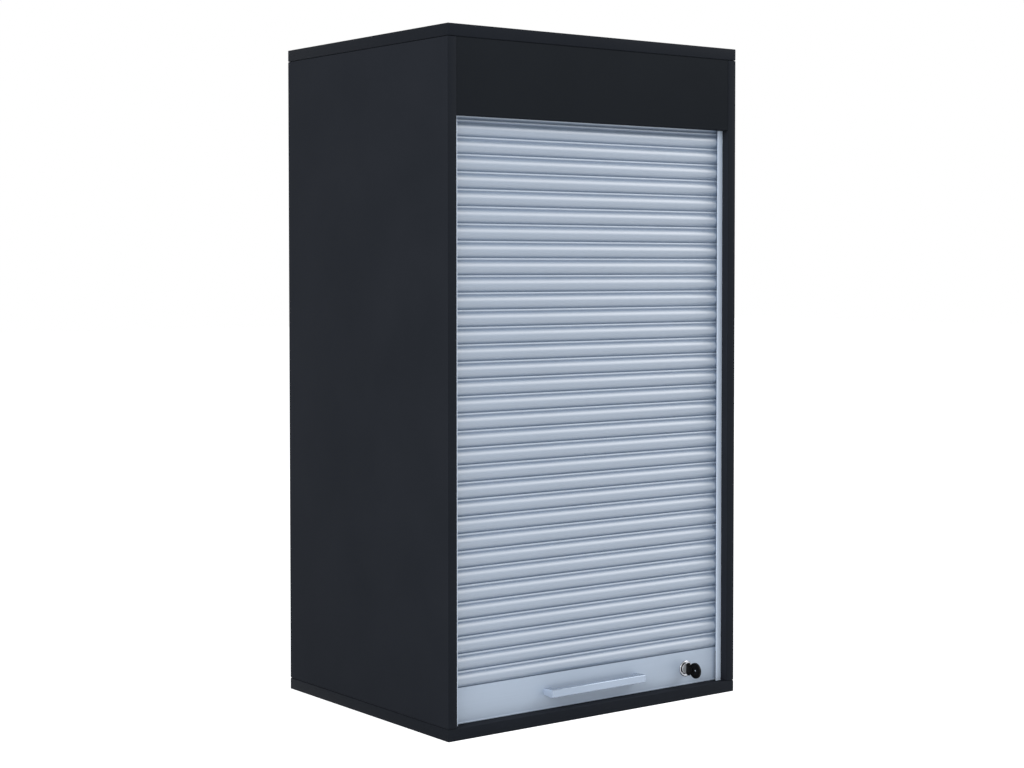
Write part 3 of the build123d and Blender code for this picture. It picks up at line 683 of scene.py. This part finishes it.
def makeSeal():
    low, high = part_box("bottom_seal")
    middle = (low.y + high.y) / 2
    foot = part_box("end_bar")[0].z
    bm = bmesh.new()
    half = bar["stem"] / 2
    pullOutline(bm, [(low.x, low.y, low.z), (low.x, high.y, low.z), (low.x, high.y, foot),
                     (low.x, middle + half, foot), (low.x, middle + half, high.z),
                     (low.x, middle - half, high.z), (low.x, middle - half, foot),
                     (low.x, low.y, foot)], (high.x - low.x, 0, 0))
    ease(bm, edgesAt(bm, y=low.y, z=low.z) + edgesAt(bm, y=high.y, z=low.z),
         bar["sealEase"], segments=4)
    finishPiece("bottom_seal_strip", bm, "shutter_bar", [sealRubber], ["bottom_seal"])


shoe = {"width": 0.005, "barEnd": 0.2328, "ease": 0.0006}


def makeShoes():
    low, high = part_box("bar_shoes")
    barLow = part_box("end_bar")[0]
    bm = bmesh.new()
    for hand in (-1, 1):
        outer = hand * high.x
        inner = outer - hand * shoe["width"]
        end = hand * shoe["barEnd"]
        pullOutline(bm, [(outer, low.y, low.z), (inner, low.y, low.z), (inner, barLow.y, low.z),
                         (end, barLow.y, low.z), (end, high.y, low.z), (outer, high.y, low.z)],
                    (0, 0, high.z - low.z))
    ease(bm, [e for e in sharpEdges(bm) if all(
        abs(abs(v.co.x) - high.x) < near for v in e.verts)], shoe["ease"], segments=3)
    finishPiece("bar_shoe_pair", bm, "shutter_bar", [darkMoulding], ["bar_shoes"])


makeBar()
makeSeal()
makeShoes()
print("end bar done")

# ---- bow handle ----
handle = {"grip": 0.0095, "foot": 0.010, "footHeight": 0.009, "ease": 0.0004,
          "frontEase": 0.0012, "bore": 0.008, "endLimit": 0.95}


def makeHandle():
    low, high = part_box("handle")
    middle = (low.z + high.z) / 2
    back = low.y + handle["grip"]
    bm = bmesh.new()
    foot = high.x - handle["foot"]
    pullOutline(bm, [(low.x, low.y, low.z), (high.x, low.y, low.z), (high.x, high.y, low.z),
                     (foot, high.y, low.z), (foot, back, low.z), (-foot, back, low.z),
                     (-foot, high.y, low.z), (low.x, high.y, low.z)], (0, 0, high.z - low.z))
    # the feet get lower from the back of the grip to the bar
    bmesh.ops.bisect_plane(bm, geom=bm.verts[:] + bm.edges[:] + bm.faces[:],
                           plane_co=(0, back, 0), plane_no=(0, 1, 0), dist=near)
    rear = [v for v in bm.verts if v.co.y > high.y - near]
    bmesh.ops.scale(bm, vec=(1, 1, handle["footHeight"] / (high.z - low.z)), verts=rear,
                    space=Matrix.Translation((0, 0, -middle)))
    long = [e for e in edgesAlong(bm, (1, 0, 0))
            if all(v.co.y < low.y + near for v in e.verts)]
    ease(bm, long, handle["frontEase"], segments=6)
    ease(bm, [e for e in sharpEdges(bm, angle=40)
              if not all(v.co.y > high.y - near for v in e.verts)], handle["ease"], segments=3)
    # painted light: the end faces get the lighter copy of the handle's finish
    for end in ((-1, 0, 0), (1, 0, 0)):
        paintFaces(bm, end, 1, limit=handle["endLimit"])
    cutter = bmesh.new()
    for x in (-bar["screwX"], bar["screwX"]):
        addRod(cutter, bar["screwHole"], (x, high.y + past, bar["middle"]),
               (x, high.y - handle["bore"], bar["middle"]), steps=24)
    finishPiece("bow_handle", cutAway(bm, cutter), "shutter_bar",
                [handleSilver, handleEndLit], ["handle"])


makeHandle()
nut = {"flats": 0.022, "thick": 0.003, "bore": 0.0091, "reach": 0.016, "coneFoot": 0.0127,
       "coneTop": 0.0109, "coneHigh": 0.0012}


def makeFasteners():
    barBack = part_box("end_bar")[1].y
    centre = Vector((bar["lockX"], barBack, bar["lockZ"]))
    bm = bmesh.new()
    addRod(bm, nut["flats"] / 2 / cos(radians(30)), centre,
           centre + Vector((0, nut["thick"], 0)), steps=6)
    # the corners of a nut are turned off to a cone on its outer side
    cone = bmesh.new()
    lathe(cone, [(0, -past), (nut["reach"], -past), (nut["reach"], 0.0),
                 (nut["coneFoot"], nut["thick"] - nut["coneHigh"]),
                 (nut["coneTop"], nut["thick"]), (0, nut["thick"])],
          centre, (0, 1, 0), (0, 0, 1))
    bm = cutAway(bm, cone, "INTERSECT")
    bore = bmesh.new()
    addRod(bore, nut["bore"], centre - Vector((0, past, 0)),
           centre + Vector((0, nut["thick"] + past, 0)), steps=48)
    bm = cutAway(bm, bore)
    recess = bmesh.new()
    for x in (-bar["screwX"], bar["screwX"]):
        addScrew(bm, recess, (x, barBack, bar["middle"]), (0, -1, 0), screw["barLength"])
    finishPiece("bar_fastener_set", cutRecesses(bm, recess), "shutter_bar", [zincPlate],
                ["bar_fasteners"])


makeFasteners()
print("handle done")

# ---- cylinder lock ----
lock = {"flange": 0.01125, "flangeThick": 0.0022, "bevel": 0.00075, "barrel": 0.009,
        "flats": 0.0164, "length": 0.013, "bore": 0.00655, "seat": 0.00745, "seatDeep": 0.00165,
        "thread": 0.001, "threadDeep": 0.00045, "threadRoot": 0.1, "threadCrest": (0.45, 0.55),
        "rimEase": 0.0002, "side": 0.013}
plug = {"head": 0.0074, "headThick": 0.0019, "edge": 0.0003, "radius": 0.0065, "tail": 0.0185,
        "soft": 0.0002, "square": 0.007, "squareLong": 0.002, "rivet": 0.0056,
        "rivetThick": 0.0011, "rivetSink": 0.0005, "rivetWaist": 0.0046, "rivetSide": 0.00066,
        "rivetTop": 0.0042, "keyWide": 0.0023, "keyHigh": 0.0092, "keyDeep": 0.0155}


def makeLock():
    low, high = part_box("lock_body")
    centre = Vector((bar["lockX"], low.y, bar["lockZ"]))
    flange, thick, soft = lock["flange"], lock["flangeThick"], lock["rimEase"]
    chain = [(lock["bore"], lock["seatDeep"]), (lock["seat"], lock["seatDeep"]),
             (lock["seat"], soft), (lock["seat"] + soft, 0),
             (flange - lock["bevel"] - soft, 0), (flange - lock["bevel"], soft / 3),
             (flange - soft / 3, lock["bevel"] - soft / 2), (flange, lock["bevel"]),
             (flange, thick)]
    at = thick
    end = thick + lock["length"]
    root = lock["barrel"] - lock["threadDeep"]
    while at < end - lock["thread"]:
        chain.append((root, at + lock["thread"] * lock["threadRoot"]))
        chain += [(lock["barrel"], at + lock["thread"] * part) for part in lock["threadCrest"]]
        at += lock["thread"]
    chain += [(root, end), (lock["bore"], end)]
    bm = bmesh.new()
    lathe(bm, chain, centre, (0, 1, 0), (0, 0, 1), steps=96, closed=True)
    cutter = bmesh.new()
    for hand in (-1, 1):
        first, last = sorted((bar["lockX"] + hand * lock["flats"] / 2,
                              bar["lockX"] + hand * lock["side"]))
        addBox(cutter, (first, low.y + thick, low.z - past), (last, high.y + past, high.z + past))
    finishPiece("lock_cylinder", cutAway(bm, cutter), "shutter_bar", [chrome],
                ["lock_body"])


def makePlug():
    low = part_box("lock_core")[0]
    centre = Vector((bar["lockX"], low.y, bar["lockZ"]))
    tail, soft = plug["tail"], plug["soft"]
    bm = bmesh.new()
    lathe(bm, [(0, 0), (plug["head"] - plug["edge"], 0), (plug["head"], plug["edge"]),
               (plug["head"], plug["headThick"]), (plug["radius"], plug["headThick"]),
               (plug["radius"], tail - soft), (plug["radius"] - soft, tail), (0, tail)],
          centre, (0, 1, 0), (0, 0, 1), steps=64)
    half = plug["square"] / 2
    squareEnd = low.y + tail + plug["squareLong"]
    stud = bmesh.new()
    addBox(stud, (bar["lockX"] - half, low.y + tail - past, bar["lockZ"] - half),
           (bar["lockX"] + half, squareEnd, bar["lockZ"] + half))
    bm = cutAway(bm, stud, "UNION")
    head = bmesh.new()
    sink, waist = plug["rivetSink"], plug["rivetWaist"]
    lathe(head, [(0, -sink), (waist, -sink), (waist, 0), (plug["rivet"], 0),
                 (plug["rivet"] - soft, plug["rivetSide"]),
                 (plug["rivetTop"], plug["rivetThick"]), (0, plug["rivetThick"])],
          (bar["lockX"], squareEnd, bar["lockZ"]), (0, 1, 0), (0, 0, 1), steps=48)
    bm = cutAway(bm, head, "UNION")
    way = bmesh.new()
    addBox(way, (bar["lockX"] - plug["keyWide"] / 2, low.y - past,
                 bar["lockZ"] - plug["keyHigh"] / 2),
           (bar["lockX"] + plug["keyWide"] / 2, low.y + plug["keyDeep"],
            bar["lockZ"] + plug["keyHigh"] / 2))
    finishPiece("lock_plug_core", cutAway(bm, way), "lock_plug", [satinChrome],
                ["lock_core"])


makeLock()
makePlug()
print("lock done")

# ---- key: a steel blade in a black neck, with a round grip that folds on a pin ----
key = {"neckHigh": 0.0178, "neckThick": 0.003, "neckLong": 0.0076, "shoulder": 0.0023,
       "corner": 0.004, "knuckle": 0.0019, "knuckleHalf": 0.003, "knuckleOuter": 0.0062,
       "play": 0.00015, "relief": 0.00035, "pin": 0.0009, "pinPlay": 0.00006, "blade": 0.0019,
       "bladeHigh": 0.0088, "ease": 0.00035, "soft": 0.0002, "bore": 0.012,
       "cutDeep": (0.0011, 0.0017, 0.0008, 0.0014), "cutFirst": 0.0035, "cutStep": 0.0028,
       "cutFlat": 0.0003, "cutOver": 0.0002, "cutSide": 0.002, "grooveDeep": 0.0004,
       "grooveHalf": 0.0007, "grip": 0.011, "reach": 0.0104, "hole": 0.0013,
       "rimWide": 0.0016, "panelDeep": 0.0009, "sink": 0.0003}


def makeKey():
    low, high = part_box("key")
    x, z = bar["lockX"], bar["lockZ"]
    fold = low.y + key["knuckle"]
    neckBack = fold + key["neckLong"]
    half = key["neckHigh"] / 2
    shoulder = fold + key["shoulder"]
    thin = key["neckThick"] / 2
    bm = bmesh.new()
    pullOutline(bm, [(x - thin, fold, z - key["knuckleOuter"]), (x - thin, shoulder, z - half),
                     (x - thin, neckBack, z - half), (x - thin, neckBack, z + half),
                     (x - thin, shoulder, z + half), (x - thin, fold, z + key["knuckleOuter"])],
                (2 * thin, 0, 0))
    ease(bm, [e for e in edgesAlong(bm, (1, 0, 0)) if e.verts[0].co.y > neckBack - near],
         key["corner"], segments=8)
    ease(bm, [e for e in sharpEdges(bm, angle=50) if any(v.co.y > fold + near for v in e.verts)],
         key["ease"], segments=3)
    barrel = bmesh.new()
    knuckle, outer, soft = key["knuckle"], key["knuckleOuter"], key["soft"]
    lathe(barrel, [(0, -outer), (knuckle - soft, -outer), (knuckle, soft - outer),
                   (knuckle, outer - soft), (knuckle - soft, outer), (0, outer)],
          (x, fold, z), (0, 0, 1), (0, 1, 0), steps=32)
    bm = cutAway(bm, barrel, "UNION")
    room = bmesh.new()
    gap = key["knuckleHalf"] + key["play"]
    addRod(room, knuckle + key["relief"], (x, fold, z - gap), (x, fold, z + gap), steps=32)
    bm = cutAway(bm, room)
    bore = bmesh.new()
    addRod(bore, key["pin"], (x, fold, z - 2 * outer), (x, fold, z + 2 * outer), steps=24)
    finishPiece("key_neck", cutAway(bm, bore), "key", [keyBlack], ["key"])
    # the steel fold pin and the blade
    steel = bmesh.new()
    addRod(steel, key["pin"], (x, fold, z - outer), (x, fold, z + outer), steps=24)
    finishPiece("key_fold_pin", steel, "key", [zincPlate], ["key"])
    bladeHalf, side = key["bladeHigh"] / 2, key["blade"] / 2
    blade = bmesh.new()
    addBox(blade, (x - side, neckBack - past, z - bladeHalf), (x + side, high.y, z + bladeHalf))
    ease(blade, [e for e in edgesAlong(blade, (1, 0, 0)) if e.verts[0].co.y > high.y - near],
         side, segments=1)
    cuts = bmesh.new()
    left, flat = x - key["cutSide"], key["cutFlat"]
    for number, deep in enumerate(key["cutDeep"]):
        y = neckBack + key["cutFirst"] + number * key["cutStep"]
        for hand, cut in ((1, deep), (-1, key["cutDeep"][-1 - number])):
            edge = z + hand * bladeHalf
            over, floor = edge + hand * key["cutOver"], edge - hand * cut
            pullOutline(cuts, [(left, y - cut, over), (left, y - flat, floor),
                               (left, y + flat, floor), (left, y + cut, over)],
                        (2 * key["cutSide"], 0, 0))
    blade = cutAway(blade, cuts, ownOverlaps=True)
    groove = bmesh.new()
    addBox(groove, (x + side - key["grooveDeep"], neckBack - 2 * past, z - key["grooveHalf"]),
           (x + side + past, high.y + past, z + key["grooveHalf"]))
    finishPiece("key_blade", cutAway(blade, groove), "key", [satinChrome], ["key"])


def makeGrip():
    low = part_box("key_grip")[0]
    x, z = bar["lockX"], bar["lockZ"]
    centreY = low.y + key["grip"]
    fold = centreY + key["reach"]
    thin, rim = key["neckThick"] / 2, key["grip"] - key["rimWide"]
    # a flat disc with a raised rim round a shallow field on both faces
    bm = bmesh.new()
    soft = key["ease"]
    sunk = thin - key["panelDeep"]
    sink = key["sink"]
    lathe(bm, [(key["hole"], sink - sunk), (key["hole"] + sink, -sunk), (rim - soft, -sunk),
               (rim, -thin), (key["grip"] - soft, -thin), (key["grip"], soft - thin),
               (key["grip"], thin - soft), (key["grip"] - soft, thin), (rim, thin),
               (rim - soft, sunk), (key["hole"] + sink, sunk), (key["hole"], sunk - sink)],
          (x, centreY, z), (1, 0, 0), (0, 0, 1), steps=72, closed=True)
    room = bmesh.new()
    end = Vector((0, 0, key["bore"]))
    pivot = Vector((x, fold, z))
    addRod(room, key["knuckle"] + key["relief"], pivot - end, pivot + end, steps=32)
    bm = cutAway(bm, room)
    bridge = bmesh.new()
    addBox(bridge, (x - thin, centreY + key["reach"] / 2, z - key["knuckleHalf"]),
           (x + thin, fold, z + key["knuckleHalf"]))
    bm = cutAway(bm, bridge, "UNION")
    knuckle = bmesh.new()
    addRod(knuckle, key["knuckle"], (x, fold, z - key["knuckleHalf"]),
           (x, fold, z + key["knuckleHalf"]), steps=32)
    bm = cutAway(bm, knuckle, "UNION")
    bore = bmesh.new()
    addRod(bore, key["pin"] + key["pinPlay"], pivot - end, pivot + end, steps=24)
    finishPiece("key_round_grip", cutAway(bm, bore), "key_grip", [keyBlack], ["key_grip"])


makeKey()
makeGrip()
print("key done")

# ---- pieces of the frame that keep their shape and get a finish ----
for names, material in ((("cassette_left", "cassette_right"), darkMoulding),
                        (("lock_cam",), zincPlate)):
    for name in names:
        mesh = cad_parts[name].data
        mesh.materials.clear()
        mesh.materials.append(material)

# ---- floor, light and camera ----
studio = {"floorSize": 30.0, "floorColour": (0.72, 0.73, 0.74), "floorLift": 0.8,
          "floorRough": 0.9, "skyLight": (0.95, 0.97, 1.0), "skyStrength": 0.52,
          "aim": (0.0, -0.1, 0.45)}
lamps = {"lampLeft": {"place": (-3.1, -2.1, 2.1), "size": (2.8, 2.4), "power": 82.0},
         "lampRight": {"place": (3.6, -2.6, 2.9), "size": (3.2, 2.4), "power": 94.0}}


# One where the camera, gloss or glass looks, nought for the light itself
def seenDirectly(tree):
    path = tree.nodes.new("ShaderNodeLightPath")
    seen = path.outputs["Is Camera Ray"]
    for label in ("Is Glossy Ray", "Is Transmission Ray"):
        more = tree.nodes.new("ShaderNodeMath")
        more.operation = "MAXIMUM"
        tree.links.new(seen, more.inputs[0])
        tree.links.new(path.outputs[label], more.inputs[1])
        seen = more.outputs[0]
    return seen


def newFloor():
    bm = bmesh.new()
    bmesh.ops.create_grid(bm, x_segments=1, y_segments=1, size=studio["floorSize"] / 2)
    mesh = bpy.data.meshes.new("floor")
    bm.to_mesh(mesh)
    bm.free()
    floor = bpy.data.objects.new("floor", mesh)
    scene.collection.objects.link(floor)
    material = bpy.data.materials.new("floorPale")
    material.use_nodes = True
    nodes, link = material.node_tree.nodes, material.node_tree.links.new
    shader = nodes["Principled BSDF"]
    shader.inputs["Base Color"].default_value = (*studio["floorColour"], 1.0)
    shader.inputs["Roughness"].default_value = studio["floorRough"]
    shader.inputs["Specular IOR Level"].default_value = 0.0
    shader.inputs["Emission Color"].default_value = (1.0, 1.0, 1.0, 1.0)
    lifted = nodes.new("ShaderNodeMath")
    lifted.operation = "MULTIPLY"
    lifted.inputs[1].default_value = studio["floorLift"]
    link(seenDirectly(material.node_tree), lifted.inputs[0])
    link(lifted.outputs[0], shader.inputs["Emission Strength"])
    mesh.materials.append(material)


newFloor()


# A soft sky lights the object; the camera, gloss and glass see plain white
def newSky():
    world = bpy.data.worlds.new("studio")
    scene.world = world
    world.use_nodes = True
    nodes, link = world.node_tree.nodes, world.node_tree.links.new
    nodes.clear()
    light = nodes.new("ShaderNodeBackground")
    light.inputs["Color"].default_value = (*studio["skyLight"], 1.0)
    light.inputs["Strength"].default_value = studio["skyStrength"]
    white = nodes.new("ShaderNodeBackground")
    white.inputs["Color"].default_value = (1.0, 1.0, 1.0, 1.0)
    mix = nodes.new("ShaderNodeMixShader")
    out = nodes.new("ShaderNodeOutputWorld")
    link(seenDirectly(world.node_tree), mix.inputs["Fac"])
    link(light.outputs[0], mix.inputs[1])
    link(white.outputs[0], mix.inputs[2])
    link(mix.outputs[0], out.inputs["Surface"])


newSky()


def softLamp(name, look):
    data = bpy.data.lights.new(name, "AREA")
    data.shape = "RECTANGLE"
    data.size, data.size_y = look["size"]
    data.energy = look["power"]
    lamp = bpy.data.objects.new(name, data)
    lamp.location = look["place"]
    towards = Vector(studio["aim"]) - Vector(look["place"])
    lamp.rotation_euler = towards.to_track_quat("-Z", "Y").to_euler()
    scene.collection.objects.link(lamp)


for lampName, lampLook in lamps.items():
    softLamp(lampName, lampLook)

view = {"place": (-1.65229, -2.21055, 0.60894), "turn": 37.206, "dip": 1.931, "lens": 67.634,
        "sensor": 36.0, "shift": (-0.01334, -0.05), "clip": (0.05, 60.0)}


def newCamera():
    data = bpy.data.cameras.new("camera")
    data.lens = view["lens"]
    data.sensor_width = view["sensor"]
    data.shift_x, data.shift_y = view["shift"]
    data.clip_start, data.clip_end = view["clip"]
    camera = bpy.data.objects.new("camera", data)
    camera.location = view["place"]
    camera.rotation_euler = (radians(90 - view["dip"]), 0.0, -radians(view["turn"]))
    scene.collection.objects.link(camera)
    scene.camera = camera


newCamera()

print("scene done")
